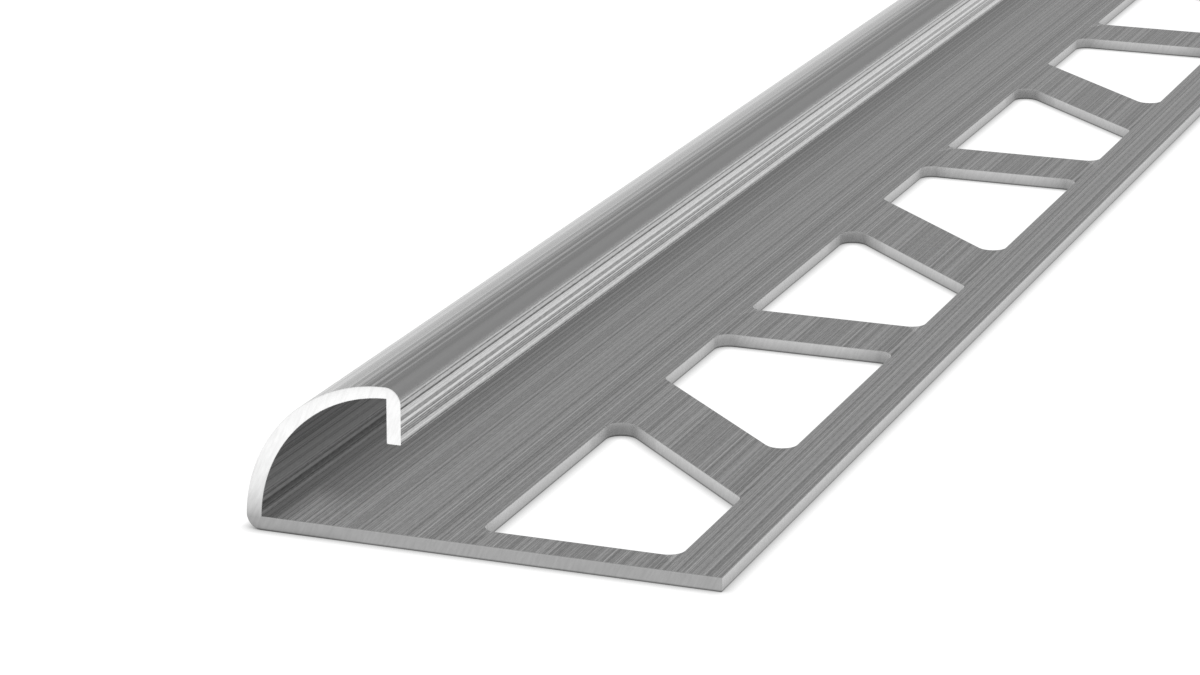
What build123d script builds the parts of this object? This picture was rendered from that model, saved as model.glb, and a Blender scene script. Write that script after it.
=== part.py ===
from build123d import *
import os
from math import sqrt

# Tile edge trim: one strip of brushed stainless steel, bent along its whole
# length and punched. Sizes are in millimetres. X runs across the trim, from
# the quarter round (-X) to the free edge of the leg (+X). Y runs along the
# stock and Z up. The origin is the middle of the underside.

# Stock
length = 1000.0
width = 30.4
height = 10.0
sheet = 0.9

# Quarter round, bent up from the leg, and the lip that turns down from it
round_rise = 0.8
foot_wall = 1.0
crown_wall = 0.7
foot_bend = 1.0
crown_bend = 1.0
lip_depth = 3.5

# Holes in the leg: right trapezoids in pairs, with the slanted sides facing
hole_width = 12.65
hole_long = 23.95
hole_short = 11.2
hole_corner = 1.05
slanted_web = 8.5
edge_strip = 3.55
pair_pitch = 50.0
end_margin = 2.55

# How far the punch passes the leg's two faces
punch_overrun = 1.0

# Worked out from the sizes above
pair_length = hole_long + slanted_web + hole_short


def left_of_circle(centre, radius, z):
    """X of a circle's left-hand side at height z."""
    return centre[0] - sqrt(radius**2 - (z - centre[1])**2)


def top_of_circle(centre, radius, x):
    """Z of a circle's upper side at x."""
    return centre[1] + sqrt(radius**2 - (x - centre[0])**2)


def section():
    """The bent strip as its cut end shows it, with x = 0 at the round's outermost line.

    The outer round is a quarter circle that meets the crown bend at the top.
    The inner one has its centre at the same height and further from the foot,
    so the wall thins a little from the foot to the crown.
    """
    outer_radius = height - round_rise
    outer_centre = (outer_radius, round_rise)
    inner_radius = outer_radius - crown_wall
    inner_centre = (foot_wall + inner_radius, round_rise)

    lip_face = outer_radius + crown_bend
    lip_back = lip_face - sheet
    lip_end = height - lip_depth

    foot = (left_of_circle(outer_centre, outer_radius, 0), 0)
    crown = (outer_radius, height)
    bend_end = (lip_face, height - crown_bend)
    inner_crown = (lip_back, top_of_circle(inner_centre, inner_radius, lip_back))
    inner_foot = (left_of_circle(inner_centre, inner_radius, sheet), sheet)

    outline = Curve() + [
        RadiusArc(foot, crown, outer_radius),
        RadiusArc(crown, bend_end, crown_bend),
        Polyline(bend_end, (lip_face, lip_end), (lip_back, lip_end), inner_crown),
        RadiusArc(inner_crown, inner_foot, -inner_radius),
        Polyline(inner_foot, (width, sheet), (width, 0), foot),
    ]
    strip = make_face(outline.edges())
    foot_corner = strip.vertices().sort_by_distance((*foot, 0))[0]
    return fillet(foot_corner, foot_bend)


def trapezoid():
    """One punched hole, square across at y = 0, with its long side on x = 0."""
    corners = [(0, 0), (hole_width, 0), (hole_width, hole_short), (0, hole_long)]
    outline = make_face(Polyline(*corners, close=True))
    return fillet(outline.vertices(), hole_corner)


def hole_pair():
    """A hole and the same hole turned half round, which leaves a slanted web between them."""
    first = trapezoid()
    second = Pos(hole_width, pair_length) * Rot(0, 0, 180) * first
    return [first, second]


def punches():
    """A punch through the leg for each hole of every pair that the stock has room for."""
    count = int((length - end_margin - pair_length) // pair_pitch) + 1
    inner_edge = width / 2 - edge_strip - hole_width
    solids = []
    for index in range(count):
        start = -length / 2 + end_margin + index * pair_pitch
        for hole in hole_pair():
            placed = Pos(inner_edge, start, -punch_overrun) * hole
            solids.append(extrude(placed, amount=sheet + 2 * punch_overrun))
    return solids


def trim_profile():
    """The whole trim: its section drawn out along Y, less the punched holes."""
    end_face = Plane.XZ * Pos(-width / 2, 0) * section()
    return extrude(end_face, amount=length / 2, both=True) - punches()


os.makedirs("parts", exist_ok=True)
export_step(trim_profile(), "parts/trim_profile.step")
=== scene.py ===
import math
from types import SimpleNamespace

import bmesh
import bpy
from mathutils import Matrix, Vector
from mathutils.geometry import delaunay_2d_cdt


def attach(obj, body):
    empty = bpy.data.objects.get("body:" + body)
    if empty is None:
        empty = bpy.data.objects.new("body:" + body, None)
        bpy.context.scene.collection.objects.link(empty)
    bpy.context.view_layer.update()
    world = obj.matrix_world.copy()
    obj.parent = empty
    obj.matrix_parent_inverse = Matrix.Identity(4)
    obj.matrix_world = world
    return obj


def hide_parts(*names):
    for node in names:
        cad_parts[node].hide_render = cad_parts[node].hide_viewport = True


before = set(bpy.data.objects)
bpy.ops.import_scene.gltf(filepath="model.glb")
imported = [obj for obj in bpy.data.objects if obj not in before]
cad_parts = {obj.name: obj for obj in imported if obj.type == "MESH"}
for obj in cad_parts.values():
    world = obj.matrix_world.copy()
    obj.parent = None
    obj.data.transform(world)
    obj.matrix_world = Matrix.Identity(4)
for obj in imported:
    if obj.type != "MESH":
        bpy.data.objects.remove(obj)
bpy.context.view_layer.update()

mm = 0.001

# The strip's sizes, the same as in the frame. X runs across the trim, from the
# quarter round to the leg's free edge, Y along the stock and Z up.
length = 1000.0 * mm
width = 30.4 * mm
height = 10.0 * mm
sheet = 0.9 * mm
round_rise = 0.8 * mm
foot_wall = 1.0 * mm
crown_wall = 0.7 * mm
foot_bend = 1.0 * mm
crown_bend = 1.0 * mm
lip_depth = 3.5 * mm

# The punched holes: right trapezoids in pairs, the second turned half round
hole_width = 12.65 * mm
hole_long = 23.95 * mm
hole_short = 11.2 * mm
hole_corner = 1.05 * mm
slanted_web = 8.5 * mm
edge_strip = 3.55 * mm
pair_pitch = 50.0 * mm
end_margin = 2.55 * mm

# How the real strip is finer than its plain section: its long edges, its sawn
# ends and the rims of its holes are broken
edge_break = 0.06 * mm
cut_break = 0.04 * mm

# How finely the mesh follows the curves
round_steps = 48
bend_steps = 16
corner_steps = 8
break_steps = 3
length_steps = 80

# The band of the leg that holds all the holes, by x from the round's outermost line
band_border = 0.8 * mm
band_in = width - edge_strip - hole_width - band_border
band_out = width - edge_strip + band_border

# The finishes of the faces, each the place of its material in the mesh's list; the last is the brushed
# finish again, with painted shade, for the inside of the round
BRUSHED, CUT, END, SHADED_INSIDE = 0, 1, 2, 3

# Where two faces of the strip meet at more than this, the edge is drawn sharp
sharp_edge = math.radians(50)


# The mesh

def arc(centre, radius, start, end, steps):
    """Points of an arc in a plane, from one angle in degrees to another."""
    points = []
    for step in range(steps + 1):
        angle = math.radians(start + (end - start) * step / steps)
        points.append((centre[0] + radius * math.cos(angle), centre[1] + radius * math.sin(angle)))
    return points


def section_outline():
    """The section as stretches of (finish, points), with x = 0 at the round's outermost line.

    The stretches follow each other round the section and the last one closes it.
    A stretch's finish goes for the faces that start at its points.
    """
    outer_radius = height - round_rise
    outer_centre = (outer_radius, round_rise)
    inner_radius = outer_radius - crown_wall
    inner_centre = (foot_wall + inner_radius, round_rise)
    crown_centre = (outer_radius, height - crown_bend)
    lip_face = outer_radius + crown_bend
    lip_back = lip_face - sheet
    lip_end = height - lip_depth

    bend_x = outer_radius - math.sqrt((outer_radius - foot_bend) ** 2 - (foot_bend - round_rise) ** 2)
    bend_to_round = math.degrees(math.atan2(foot_bend - round_rise, bend_x - outer_radius))
    inner_crown = math.degrees(math.acos((lip_back - inner_centre[0]) / inner_radius))
    inner_foot = 180 - math.degrees(math.asin((sheet - round_rise) / inner_radius))
    inner_round = arc(inner_centre, inner_radius, inner_crown, inner_foot, round_steps)

    e = edge_break
    return [
        (BRUSHED, arc((bend_x, foot_bend), foot_bend, 270, bend_to_round, bend_steps)[:-1]),
        (BRUSHED, arc(outer_centre, outer_radius, bend_to_round, 90, round_steps)),
        (BRUSHED, arc(crown_centre, crown_bend, 90, 0, bend_steps)[1:]),
        (BRUSHED, arc((lip_face - e, lip_end + e), e, 0, -90, break_steps)[:-1]),
        (CUT, [(lip_face - e, lip_end)]),
        (CUT, arc((lip_back + e, lip_end + e), e, -90, -180, break_steps)[:-1]),
        (BRUSHED, [(lip_back, lip_end + e)]),
        (SHADED_INSIDE, inner_round[:-1]),
        (BRUSHED, [inner_round[-1], (band_in, sheet), (band_out, sheet)]),
        (CUT, arc((width - e, sheet - e), e, 90, 0, break_steps)),
        (CUT, arc((width - e, e), e, 0, -90, break_steps)[:-1]),
        (BRUSHED, [(width - e, 0), (band_out, 0), (band_in, 0)]),
    ]


def inward(points):
    """For each point of a closed outline, the step that moves both its sides inward by one."""
    steps = []
    count = len(points)
    area = sum(a[0] * b[1] - b[0] * a[1] for a, b in zip(points, points[1:] + points[:1]))
    turn = 1 if area > 0 else -1
    for index, point in enumerate(points):
        here = Vector(point)
        before = (here - Vector(points[index - 1])).normalized()
        after = (Vector(points[(index + 1) % count]) - here).normalized()
        left = [Vector((-side.y, side.x)) * turn for side in (before, after)]
        steps.append((left[0] + left[1]) / (1 + left[0].dot(left[1])))
    return steps


def break_profile():
    """A broken edge as (depth below the face that is cut, how far the side stands back there)."""
    quarter = arc((0, 0), 1, 0, 90, break_steps)
    return [(cut_break * (1 - a), cut_break * (1 - b)) for a, b in quarter]


def stations():
    """Where the rings of the strip lie, as (distance from the near end, how far they stand back)."""
    near = break_profile()
    body = length - 2 * cut_break
    between = [(cut_break + body * k / length_steps, 0) for k in range(1, length_steps)]
    far = [(length - along, back) for along, back in reversed(near)]
    return near + between + far


def hole_outline(out):
    """One hole's plan, square across at y = 0 with its long side on x = 0, grown by out."""
    slant = 90 - math.degrees(math.atan2(hole_long - hole_short, hole_width))
    turns = [
        ((0, 0), 180, 270),
        ((hole_width, 0), 270, 360),
        ((hole_width, hole_short), 0, slant),
        ((0, hole_long), slant, 180),
    ]
    points = []
    for corner, start, end in turns:
        middle = math.radians((start + end) / 2)
        reach = hole_corner / math.cos(math.radians(end - start) / 2)
        centre = (corner[0] - reach * math.cos(middle), corner[1] - reach * math.sin(middle))
        points += arc(centre, hole_corner + out, start, end, corner_steps)
    return points


def hole_places():
    """Where each hole goes: (x, y, turn), with turn -1 for one that is turned half round."""
    pair_length = hole_long + slanted_web + hole_short
    left = width / 2 - edge_strip - hole_width
    count = int((length - end_margin - pair_length) // pair_pitch) + 1
    places = []
    for index in range(count):
        start = -length / 2 + end_margin + index * pair_pitch
        places.append((left, start, 1))
        places.append((left + hole_width, start + pair_length, -1))
    return places


def placed(points, place):
    """Points of a hole's plan, moved to its place on the leg."""
    x, y, turn = place
    return [(x + turn * a, y + turn * b) for a, b in points]


def triangles(loops):
    """Triangles, as numbers of points, that fill the first outline but for the convex ones after it.

    The points go to the triangulation in millimetres, well above its tolerance.
    """
    points = [Vector(point) / mm for loop in loops for point in loop]
    edges = []
    owner = []
    for number, loop in enumerate(loops):
        start = len(owner)
        edges += [(start + i, start + (i + 1) % len(loop)) for i in range(len(loop))]
        owner += [number] * len(loop)
    inside_outlines = 1
    tolerance = 1e-6
    _, _, faces, sources, _, _ = delaunay_2d_cdt(points, edges, [], inside_outlines, tolerance)
    filled = []
    for face in faces:
        corners = [sources[i][0] for i in face]
        outlines = {owner[i] for i in corners}
        if outlines == {0} or len(outlines) > 1:
            filled.append(corners)
    return filled


def add_face(bm, vertices, finish):
    face = bm.faces.new(vertices)
    face.material_index = finish
    face.smooth = True


def add_rings(bm, section):
    """A ring of vertices round the section at each station."""
    steps = inward(section)
    rings = []
    for along, back in stations():
        y = along - length / 2
        ring = [(p[0] + step.x * back, y, p[1] + step.y * back) for p, step in zip(section, steps)]
        rings.append([bm.verts.new(place) for place in ring])
    return rings


def add_skin(bm, rings, finishes, left_open):
    """The faces between the rings, but for the sides of the strip's body that are left open."""
    count = len(finishes)
    for k in range(len(rings) - 1):
        in_body = break_steps <= k < len(rings) - 1 - break_steps
        for i in range(count):
            if in_body and i in left_open:
                continue
            j = (i + 1) % count
            finish = finishes[i] if in_body else END
            add_face(bm, [rings[k][i], rings[k][j], rings[k + 1][j], rings[k + 1][i]], finish)


def add_ends(bm, rings):
    """The two sawn faces."""
    for ring in (rings[0], rings[-1]):
        outline = [(v.co.x, v.co.z) for v in ring]
        for corners in triangles([outline]):
            add_face(bm, [ring[i] for i in corners], END)


def add_hole_walls(bm):
    """Each hole's wall, as its outlines from the leg's upper face down to its lower one."""
    levels = [(sheet - depth, back) for depth, back in break_profile()]
    levels += [(depth, back) for depth, back in reversed(break_profile())]
    walls = []
    for place in hole_places():
        wall = []
        for z, back in levels:
            wall.append([bm.verts.new((x, y, z)) for x, y in placed(hole_outline(back), place)])
        for upper, lower in zip(wall, wall[1:]):
            for i in range(len(upper)):
                j = (i + 1) % len(upper)
                add_face(bm, [upper[i], upper[j], lower[j], lower[i]], CUT)
        walls.append(wall)
    return walls


def add_band(bm, border, outlines):
    """One face of the band between its border and the outlines of the holes."""
    loops = [border] + outlines
    vertices = [v for loop in loops for v in loop]
    plans = [[(v.co.x, v.co.y) for v in loop] for loop in loops]
    for corners in triangles(plans):
        add_face(bm, [vertices[i] for i in corners], BRUSHED)


def trim_mesh():
    """The whole strip as one closed mesh."""
    outline = section_outline()
    section = [(x - width / 2, z) for _, points in outline for x, z in points]
    finishes = [finish for finish, points in outline for _ in points]
    top_in, bottom_in = [i for i, (x, _) in enumerate(section) if math.isclose(x, band_in - width / 2)]
    top_out, bottom_out = top_in + 1, bottom_in - 1

    bm = bmesh.new()
    rings = add_rings(bm, section)
    add_skin(bm, rings, finishes, {top_in, bottom_out})
    add_ends(bm, rings)
    walls = add_hole_walls(bm)
    body = rings[break_steps:len(rings) - break_steps]
    for side_in, side_out, level in ((top_in, top_out, 0), (bottom_in, bottom_out, -1)):
        border = [ring[side_in] for ring in body] + [ring[side_out] for ring in reversed(body)]
        add_band(bm, border, [wall[level] for wall in walls])

    bmesh.ops.recalc_face_normals(bm, faces=bm.faces)
    mesh = bpy.data.meshes.new("brushed_trim")
    bm.to_mesh(mesh)
    bm.free()
    return mesh


# Shader nodes

def empty_tree(owner):
    """The node tree of a material or a world, with nothing in it yet."""
    owner.use_nodes = True
    owner.node_tree.nodes.clear()
    return owner.node_tree


def add(tree, kind, **values):
    """A node with its properties and, by index or name, the values of its inputs."""
    node = tree.nodes.new(kind)
    for name, value in values.items():
        if name == "inputs":
            for key, content in value.items():
                if isinstance(content, bpy.types.NodeSocket):
                    tree.links.new(content, node.inputs[key])
                else:
                    node.inputs[key].default_value = content
        else:
            setattr(node, name, value)
    return node


def maths(tree, operation, a, b=0.0):
    return add(tree, "ShaderNodeMath", operation=operation, inputs={0: a, 1: b}).outputs[0]


def combined(tree, operation, values):
    result = values[0]
    for value in values[1:]:
        result = maths(tree, operation, result, value)
    return result


def total(tree, *values):
    return combined(tree, "ADD", values)


def product(tree, *values):
    return combined(tree, "MULTIPLY", values)


def vector(tree, operation, a, b):
    node = add(tree, "ShaderNodeVectorMath", operation=operation, inputs={0: a, 1: b})
    return node.outputs["Value"] if operation in ("DOT_PRODUCT", "DISTANCE") else node.outputs[0]


def separate(tree, value):
    """The X, Y and Z of a vector."""
    return add(tree, "ShaderNodeSeparateXYZ", inputs={0: value}).outputs


def grey(tree, level):
    return add(tree, "ShaderNodeCombineColor", inputs={0: level, 1: level, 2: level}).outputs[0]


def ramp(tree, value, start, end, low, high):
    """Smoothly from low to high as value goes from start to end."""
    return add(
        tree, "ShaderNodeMapRange", interpolation_type="SMOOTHSTEP",
        inputs={"Value": value, "From Min": start, "From Max": end, "To Min": low, "To Max": high},
    ).outputs[0]


def stripe(tree, value, middle, half_width, soft, level):
    """Level where value is within half_width of the middle, going soft to 0 on both sides."""
    off = maths(tree, "ABSOLUTE", maths(tree, "SUBTRACT", value, middle))
    return ramp(tree, off, half_width, half_width + soft, level, 0.0)


def noise(tree, place, detail):
    return add(
        tree, "ShaderNodeTexNoise",
        inputs={"Vector": place, "Scale": 1.0, "Detail": detail, "Roughness": 0.6},
    ).outputs["Fac"]


def streaks(tree, place, across, along, detail=0.0, seed=0.0):
    """Noise drawn out along Y, from 0 to 1: across and along are the size of its cells in metres."""
    mapping = add(
        tree, "ShaderNodeMapping",
        inputs={
            "Vector": place,
            "Location": (seed, seed, seed),
            "Scale": (1 / across, 1 / along, 1 / across),
        },
    )
    return noise(tree, mapping.outputs[0], detail)


def centred(tree, value, weight):
    """A noise value moved to swing about zero, times its weight."""
    return product(tree, maths(tree, "SUBTRACT", value, 0.5), weight)


def bump(tree, relief, depth):
    """The normal of a face that relief from 0 to 1 raises by up to depth."""
    return add(
        tree, "ShaderNodeBump",
        inputs={"Strength": 1.0, "Distance": depth, "Height": relief},
    ).outputs[0]


def shaded_point(tree):
    """Where the point lies that a material shades, and which way its face looks."""
    place = add(tree, "ShaderNodeTexCoord").outputs["Object"]
    normal = add(tree, "ShaderNodeNewGeometry").outputs["Normal"]
    across, along, above_floor = separate(tree, place)
    sideways, _, upward = separate(tree, normal)
    return SimpleNamespace(
        place=place, across=across, along=along, above_floor=above_floor,
        normal=normal, sideways=sideways, upward=upward,
    )


# Brushed steel

# How light and how rough the plain steel is, how much rougher a lighter grain
# makes it and how high the brushing stands
plain_level = 0.51
plain_roughness = 0.28
grain_roughness = 0.06
brushing_depth = 0.004 * mm

# The long brush lines' cells go on well past the stock
line_cell = 4000 * mm

# Between which heights one part of the strip gives way to the next
leg_to_round = (2.0 * mm, 4.0 * mm)
hollow_to_lip = (5.0 * mm, 6.0 * mm)
round_to_crown = (9.35 * mm, 9.55 * mm)

# Between which values of X the crown's own finish starts, beside the lip, and its painted shade there
crown_start = (-6.6 * mm, -6.3 * mm)

# Single lines along the stock: the X of the middle, half width, soft edge and lightness
leg_dark_line = (-9.54 * mm, 0.04 * mm, 0.06 * mm, -0.45)
crown_light_line = (-6.31 * mm, 0.04 * mm, 0.07 * mm, 0.42)
crown_dull_line = (-6.15 * mm, 0.35 * mm, 0.25 * mm, -0.10)

# Bright bands along the lip's outer face: their heights above the floor and half widths
lip_bright_bands = (
    (6.90 * mm, 0.17 * mm),
    (7.36 * mm, 0.00 * mm),
    (7.54 * mm, 0.01 * mm),
    (7.89 * mm, 0.07 * mm),
    (8.47 * mm, 0.18 * mm),
    (8.94 * mm, 0.09 * mm),
    (9.19 * mm, 0.00 * mm),
)
lip_band_soft = 0.05 * mm


def brush_marks(tree, place):
    """The noises that the brushing is made of: long lines, short dashes and wide bands."""
    return SimpleNamespace(
        lines=streaks(tree, place, 0.13 * mm, line_cell, seed=3.1),
        thin_lines=streaks(tree, place, 0.11 * mm, line_cell, seed=61.7),
        round_lines=streaks(tree, place, 0.23 * mm, line_cell, seed=36.3),
        scratches=streaks(tree, place, 0.2 * mm, line_cell, seed=20.4),
        dashes=streaks(tree, place, 0.1 * mm, 0.5 * mm, seed=11.7),
        bands=streaks(tree, place, 1.3 * mm, 900 * mm, detail=1.5, seed=5.3),
    )


def on_crown(tree, at):
    """1 on top of the bend into the lip and 0 elsewhere."""
    high = ramp(tree, at.above_floor, *round_to_crown, 0.0, 1.0)
    return product(tree, high, ramp(tree, at.across, *crown_start, 0.0, 1.0))


def on_lip(tree, at):
    """Close to 1 on the lip's outer face, fading out round the bend, and 0 elsewhere."""
    faces_leg = ramp(tree, at.sideways, 0.90, 1.02, 0.0, 1.0)
    return product(tree, faces_leg, ramp(tree, at.above_floor, *hollow_to_lip, 0.0, 1.0))


def on_round(tree, at):
    """1 high on the round's outside, less lower down and deep in the hollow, and 0 elsewhere."""
    low_down = 0.6
    faces_out = ramp(tree, at.sideways, -0.02, -0.08, 0.0, 1.0)
    far_out = ramp(tree, at.across, -10.0 * mm, -12.0 * mm, 0.0, 1.0)
    by_height = ramp(tree, at.above_floor, 8.5 * mm, 7.0 * mm, 1.0, low_down)
    return product(tree, maths(tree, "MAXIMUM", faces_out, far_out), by_height)


def fine_grain(tree, at, marks):
    """Fine lines and dashes: strong on the leg and the lip, weaker on the round and the crown."""
    crown_strength = 0.2
    lip_strength = 2.2
    above_leg_strength = 0.45
    brushed = total(
        tree,
        ramp(tree, marks.lines, 0.50, 0.58, -0.11, 0.22),
        centred(tree, marks.thin_lines, 0.3),
        centred(tree, marks.dashes, 0.35),
    )
    strength = product(
        tree,
        ramp(tree, on_crown(tree, at), 0.0, 1.0, 1.0, crown_strength),
        ramp(tree, on_lip(tree, at), 0.0, 1.0, 1.0, lip_strength),
        ramp(tree, at.above_floor, *leg_to_round, 1.0, above_leg_strength),
    )
    return product(tree, brushed, strength)


def leg_grain(tree, at, marks):
    """The leg's light and dark scratches and its one dark line."""
    scratched = total(
        tree,
        ramp(tree, marks.scratches, 0.60, 0.66, 0.0, 0.3),
        ramp(tree, marks.scratches, 0.37, 0.32, 0.0, -0.2),
        stripe(tree, at.across, *leg_dark_line),
    )
    return product(tree, scratched, ramp(tree, at.above_floor, *leg_to_round, 1.0, 0.0))


def round_grain(tree, at, marks):
    """The round's wider lines, half of them darker and half of them lighter."""
    contrast = 0.34
    wide = ramp(tree, marks.round_lines, 0.42, 0.58, -contrast, contrast)
    return product(tree, wide, on_round(tree, at))


def crown_grain(tree, at):
    """The crown's light line in a dull one, and painted shade that makes its side beside the lip
    slightly darker.
    """
    shade_beside_lip = -0.07
    lines = total(
        tree,
        stripe(tree, at.across, *crown_light_line),
        stripe(tree, at.across, *crown_dull_line),
        ramp(tree, at.across, *crown_start, 0.0, shade_beside_lip),
    )
    return product(tree, lines, ramp(tree, at.above_floor, *round_to_crown, 0.0, 1.0))


def lip_grain(tree, at):
    """The dull bands of the lip, between its bright ones, which are a little dulled too."""
    low_dullness = 0.76
    high_dullness = 0.62
    dullness_everywhere = 0.05
    bright = 0.0
    for middle, half_width in lip_bright_bands:
        band = stripe(tree, at.above_floor, middle, half_width, lip_band_soft, 1.0)
        bright = maths(tree, "MAXIMUM", bright, band)
    dullness = ramp(tree, at.above_floor, 9.02 * mm, 9.12 * mm, low_dullness, high_dullness)
    dull_bands = product(tree, maths(tree, "SUBTRACT", bright, 1.0), dullness)
    return product(tree, maths(tree, "SUBTRACT", dull_bands, dullness_everywhere), on_lip(tree, at))


def in_hollow(tree, at, section):
    """1 on the faces that look into the hollow under the round, and 0 elsewhere.

    Section is the point's place without its Y.
    """
    middle = (-8.0 * mm, 0.0, 3.0 * mm)
    facing = vector(tree, "DOT_PRODUCT", at.normal, vector(tree, "SUBTRACT", middle, section))
    return product(
        tree,
        ramp(tree, facing, 0.0, 0.5 * mm, 0.0, 1.0),
        ramp(tree, at.across, -4.0 * mm, -7.0 * mm, 0.0, 1.0),
    )


def light_in_hollow(tree, at):
    """How much light gets to a face: 1 outside the hollow, and less further in from its mouth."""
    darkest_round = 0.38
    darkest_foot = 0.74
    darkest_leg = 0.62
    section = vector(tree, "MULTIPLY", at.place, (1.0, 0.0, 1.0))
    mouth = (-4.7 * mm, 0.0, 2.0 * mm)
    from_mouth = vector(tree, "DISTANCE", section, mouth)
    round_shade = ramp(tree, from_mouth, 5.2 * mm, 9.4 * mm, 0.0, darkest_round)

    from_end = maths(tree, "SUBTRACT", length / 2, maths(tree, "ABSOLUTE", at.along))
    away_from_end = ramp(tree, from_end, 2.0 * mm, 7.0 * mm, 0.0, 1.0)
    at_foot = ramp(tree, at.across, -11.4 * mm, -14.2 * mm, 0.0, darkest_foot)
    under_round = ramp(tree, at.across, -8.0 * mm, -14.0 * mm, 0.0, darkest_leg)
    leg_shade = maths(tree, "MAXIMUM", at_foot, product(tree, under_round, away_from_end))

    of_leg = ramp(tree, at.upward, 0.3, 0.7, 0.0, 1.0)
    of_round = maths(tree, "SUBTRACT", 1.0, of_leg)
    shade = total(tree, product(tree, leg_shade, of_leg), product(tree, round_shade, of_round))
    return maths(tree, "SUBTRACT", 1.0, product(tree, in_hollow(tree, at, section), shade))


def brushed_steel(name, edge_tint):
    """Stainless steel brushed along the stock.

    Its tint at grazing angles is lower inside the round, where little light gets: that and its colour
    in the hollow are painted shade.
    """
    material = bpy.data.materials.new(name)
    tree = empty_tree(material)
    at = shaded_point(tree)
    marks = brush_marks(tree, at.place)
    grain = total(
        tree,
        fine_grain(tree, at, marks),
        leg_grain(tree, at, marks),
        round_grain(tree, at, marks),
        crown_grain(tree, at),
        lip_grain(tree, at),
    )
    level = product(tree, maths(tree, "ADD", grain, 1.0), plain_level, light_in_hollow(tree, at))
    relief = total(
        tree,
        centred(tree, marks.lines, 1.0),
        centred(tree, marks.dashes, 0.3),
        centred(tree, marks.bands, 0.6),
    )
    roughness = maths(tree, "ADD", product(tree, grain, grain_roughness), plain_roughness)
    brushing = add(tree, "ShaderNodeCombineXYZ", inputs={0: 0.0, 1: 1.0, 2: 0.0})
    shader = add(
        tree, "ShaderNodeBsdfPrincipled",
        inputs={
            "Base Color": grey(tree, level),
            "Metallic": 1.0,
            "Roughness": roughness,
            "Specular Tint": (edge_tint, edge_tint, edge_tint, 1.0),
            "Anisotropic": 0.7,
            "Anisotropic Rotation": 0.25,
            "Normal": bump(tree, relief, brushing_depth),
            "Tangent": brushing.outputs[0],
        },
    )
    add(tree, "ShaderNodeOutputMaterial", inputs={"Surface": shader.outputs[0]})
    return material


# Cut steel

# How light it is where no shade is painted on it, how rough it is, how much its marks
# change its lightness and how high they stand
unshaded_steel = 0.98
cut_roughness = 0.42
marks_contrast = 0.3
marks_depth = 0.003 * mm


def cutting_marks(tree, place):
    """Noise drawn out up and down the cut, leaning over a little."""
    lean = math.radians(25)
    mark_width = 0.17 * mm
    mark_height = 1.1 * mm
    mapping = add(
        tree, "ShaderNodeMapping", vector_type="TEXTURE",
        inputs={
            "Vector": place,
            "Rotation": (0.0, lean, 0.0),
            "Scale": (mark_width, mark_width, mark_height),
        },
    )
    return noise(tree, mapping.outputs[0], detail=2.0)


def level_with_floor_shade(tree, above_floor, low, start, rise):
    """Painted shade near the floor: low up to the height start, then ever closer to the unshaded level,
    most of the way over the height rise.
    """
    above_start = maths(tree, "MAXIMUM", maths(tree, "SUBTRACT", above_floor, start), 0.0)
    fading = maths(tree, "EXPONENT", maths(tree, "DIVIDE", above_start, -rise))
    return maths(tree, "SUBTRACT", unshaded_steel, product(tree, fading, unshaded_steel - low))


def cut_steel(name, low, start, rise):
    """Sheared or sawn steel, almost white high up, with painted shade near the floor and in corners."""
    # Painted shade: how dark the corners and the very foot of a cut face get, and how far the corner
    # shade reaches
    in_corners = 0.3
    at_floor = 0.35
    corner_reach = 4.0 * mm
    material = bpy.data.materials.new(name)
    tree = empty_tree(material)
    place = add(tree, "ShaderNodeTexCoord").outputs["Object"]
    _, _, above_floor = separate(tree, place)
    marks = cutting_marks(tree, place)
    openness = add(
        tree, "ShaderNodeAmbientOcclusion", samples=8, only_local=True,
        inputs={"Distance": corner_reach},
    ).outputs["AO"]
    # Painted shade near the floor, in corners and right at the foot of each cut face
    painted_shade = product(
        tree,
        level_with_floor_shade(tree, above_floor, low, start, rise),
        ramp(tree, openness, 0.76, 0.97, in_corners, 1.0),
        ramp(tree, above_floor, 0.03 * mm, 0.16 * mm, at_floor, 1.0),
    )
    marked = maths(tree, "ADD", centred(tree, marks, marks_contrast), 1.0)
    level = product(tree, marked, painted_shade)
    shader = add(
        tree, "ShaderNodeBsdfPrincipled",
        inputs={
            "Base Color": grey(tree, level),
            "Metallic": 1.0,
            "Roughness": cut_roughness,
            "Normal": bump(tree, marks, marks_depth),
        },
    )
    add(tree, "ShaderNodeOutputMaterial", inputs={"Surface": shader.outputs[0]})
    return material


# Floor, light and camera

def painted_shade_in_reflections(tree):
    """How light the floor is in reflections, with painted shade below the round: dark there and 1 away
    from it.
    """
    darkest = 0.06
    end_soft = 1 * mm
    across, along, _ = separate(tree, add(tree, "ShaderNodeTexCoord").outputs["Object"])
    right = ramp(tree, across, -17.5 * mm, -6.5 * mm, 0.0, 1.0)
    left = ramp(tree, across, -16.5 * mm, -19.5 * mm, 0.0, 1.0)
    end = length / 2
    beyond = ramp(tree, maths(tree, "ABSOLUTE", along), end - end_soft, end + end_soft, 0.0, 1.0)
    open_floor = maths(tree, "MAXIMUM", maths(tree, "MAXIMUM", left, right), beyond)
    return maths(tree, "ADD", product(tree, open_floor, 1.0 - darkest), darkest)


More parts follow.
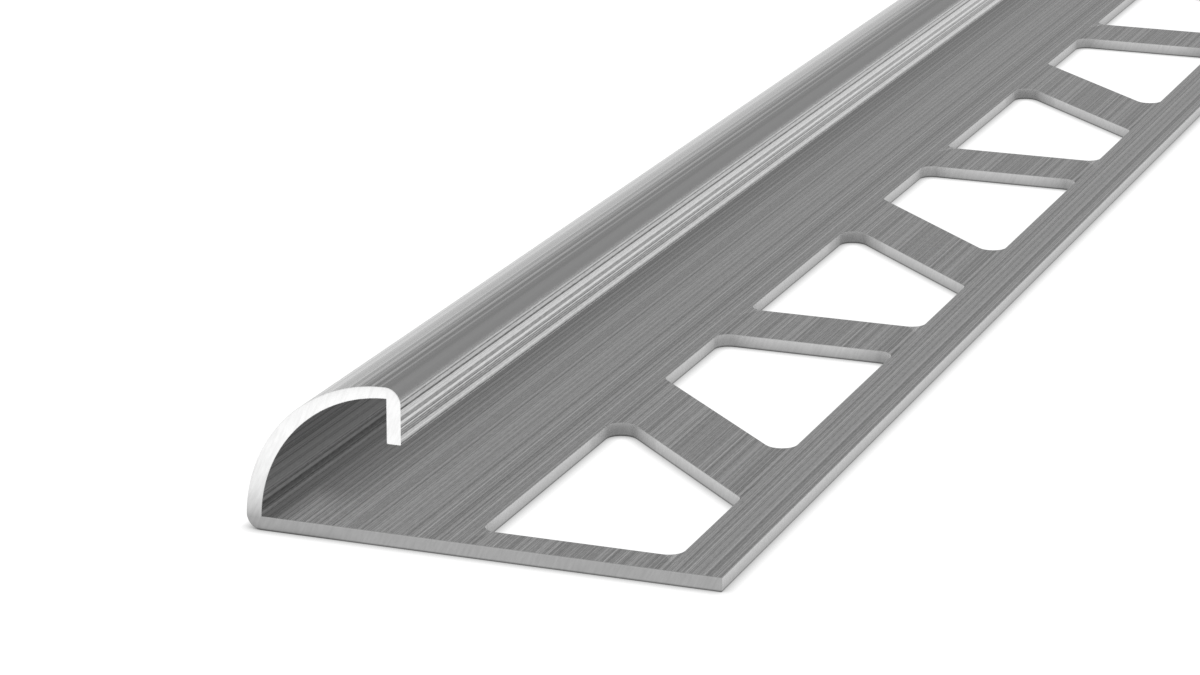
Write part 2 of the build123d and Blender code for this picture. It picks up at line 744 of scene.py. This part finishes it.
def floor_material(diffuse, glow, shadow_reach):
    """A plain white floor that keeps the shadow: real in its matt part, and painted by closeness to the
    trim in its own white.

    Part of its white is its own, for the camera and for reflections.
    """
    material = bpy.data.materials.new("plain_floor")
    tree = empty_tree(material)
    path = add(tree, "ShaderNodeLightPath").outputs
    # Painted contact shadow: the floor's own white, as the camera sees it, is darker close to the trim
    openness = add(
        tree, "ShaderNodeAmbientOcclusion", samples=8,
        inputs={"Distance": shadow_reach},
    ).outputs["AO"]
    mirrored_shade = painted_shade_in_reflections(tree)
    by_camera = product(tree, path["Is Camera Ray"], openness)
    by_mirror = product(tree, path["Is Glossy Ray"], mirrored_shade)
    seen = maths(tree, "MAXIMUM", by_camera, by_mirror)
    seen = maths(tree, "MAXIMUM", seen, path["Is Transmission Ray"])
    white = add(
        tree, "ShaderNodeEmission",
        inputs={"Color": (1, 1, 1, 1), "Strength": product(tree, seen, glow)},
    )
    # The matt part carries the painted shade below the round in reflections too
    lit = maths(tree, "MAXIMUM", maths(tree, "SUBTRACT", 1.0, path["Is Glossy Ray"]), mirrored_shade)
    matt = add(tree, "ShaderNodeBsdfDiffuse", inputs={"Color": grey(tree, product(tree, lit, diffuse))})
    both = add(tree, "ShaderNodeAddShader", inputs={0: white.outputs[0], 1: matt.outputs[0]})
    add(tree, "ShaderNodeOutputMaterial", inputs={"Surface": both.outputs[0]})
    return material


def floor(half, material):
    """A square floor about the origin, half being half its side."""
    corners = [(-half, -half, 0), (half, -half, 0), (half, half, 0), (-half, half, 0)]
    mesh = bpy.data.meshes.new("floor")
    mesh.from_pydata(corners, [], [(0, 1, 2, 3)])
    mesh.materials.append(material)
    plane = bpy.data.objects.new("floor", mesh)
    bpy.context.scene.collection.objects.link(plane)


def studio_world():
    """A soft white room whose far wall is dimmer, with a wide glow low on its left."""
    around = 0.78
    left_wall = 0.39
    right_wall = 0.46
    glow = 0.88
    glow_top = math.radians(31)
    glow_full = math.radians(-10)
    world = bpy.data.worlds.new("studio")
    bpy.context.scene.world = world
    tree = empty_tree(world)
    x, y, z = separate(tree, add(tree, "ShaderNodeTexCoord").outputs["Generated"])
    lift = maths(tree, "ARCTAN2", z, product(tree, x, -1.0))
    lighter_up = maths(tree, "ADD", product(tree, z, 0.6), 0.82)
    wall = product(tree, ramp(tree, x, -0.25, 0.25, left_wall, right_wall), lighter_up)
    far_wall = maths(tree, "ADD", wall, ramp(tree, lift, glow_top, glow_full, 0.0, glow))
    level = ramp(tree, y, 0.2, 0.7, around, far_wall)
    background = add(tree, "ShaderNodeBackground", inputs={"Color": grey(tree, level), "Strength": 1.0})
    add(tree, "ShaderNodeOutputWorld", inputs={"Surface": background.outputs[0]})


def photo_camera():
    """The camera of the photograph, from a pinhole fit to the trim's edges."""
    place = Vector((86.97, -710.07, 82.85)) * mm
    yaw = math.radians(20.701)
    pitch = math.radians(16.905)
    roll = math.radians(0.230)
    data = bpy.data.cameras.new("photo_camera")
    data.lens = 122.33
    data.sensor_width = 36.0
    data.clip_start = 0.01
    data.clip_end = 50.0
    camera = bpy.data.objects.new("photo_camera", data)
    bpy.context.scene.collection.objects.link(camera)
    turn = Matrix.Rotation(yaw, 4, "Z") @ Matrix.Rotation(math.pi / 2 - pitch, 4, "X")
    turn = turn @ Matrix.Rotation(roll, 4, "Z")
    camera.matrix_world = Matrix.Translation(place) @ turn
    bpy.context.scene.camera = camera


# The scene

mesh = trim_mesh()
sheared_steel = cut_steel("sheared_steel", low=0.34, start=0.0, rise=1.9 * mm)
sawn_steel = cut_steel("sawn_steel", low=0.40, start=0.8 * mm, rise=1.6 * mm)
outer_steel = brushed_steel("brushed_steel", edge_tint=1.0)
# The inside of the round is the same brushed steel with painted shade: a lower tint at grazing angles
shaded_inner_steel = brushed_steel("brushed_steel_shaded_inside", edge_tint=0.45)
for material in (outer_steel, sheared_steel, sawn_steel, shaded_inner_steel):
    mesh.materials.append(material)
mesh.set_sharp_from_angle(angle=sharp_edge)

trim = bpy.data.objects.new("brushed_trim", mesh)
bpy.context.scene.collection.objects.link(trim)
weighted = trim.modifiers.new("even_shading", "WEIGHTED_NORMAL")
weighted.keep_sharp = True
trim.visible_glossy = False
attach(trim, "root")
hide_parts("trim_profile")

plain_floor = floor_material(diffuse=0.22, glow=0.93, shadow_reach=0.9 * mm)
floor(half=6.0, material=plain_floor)
studio_world()
photo_camera()

bpy.context.scene.view_settings.view_transform = "Standard"
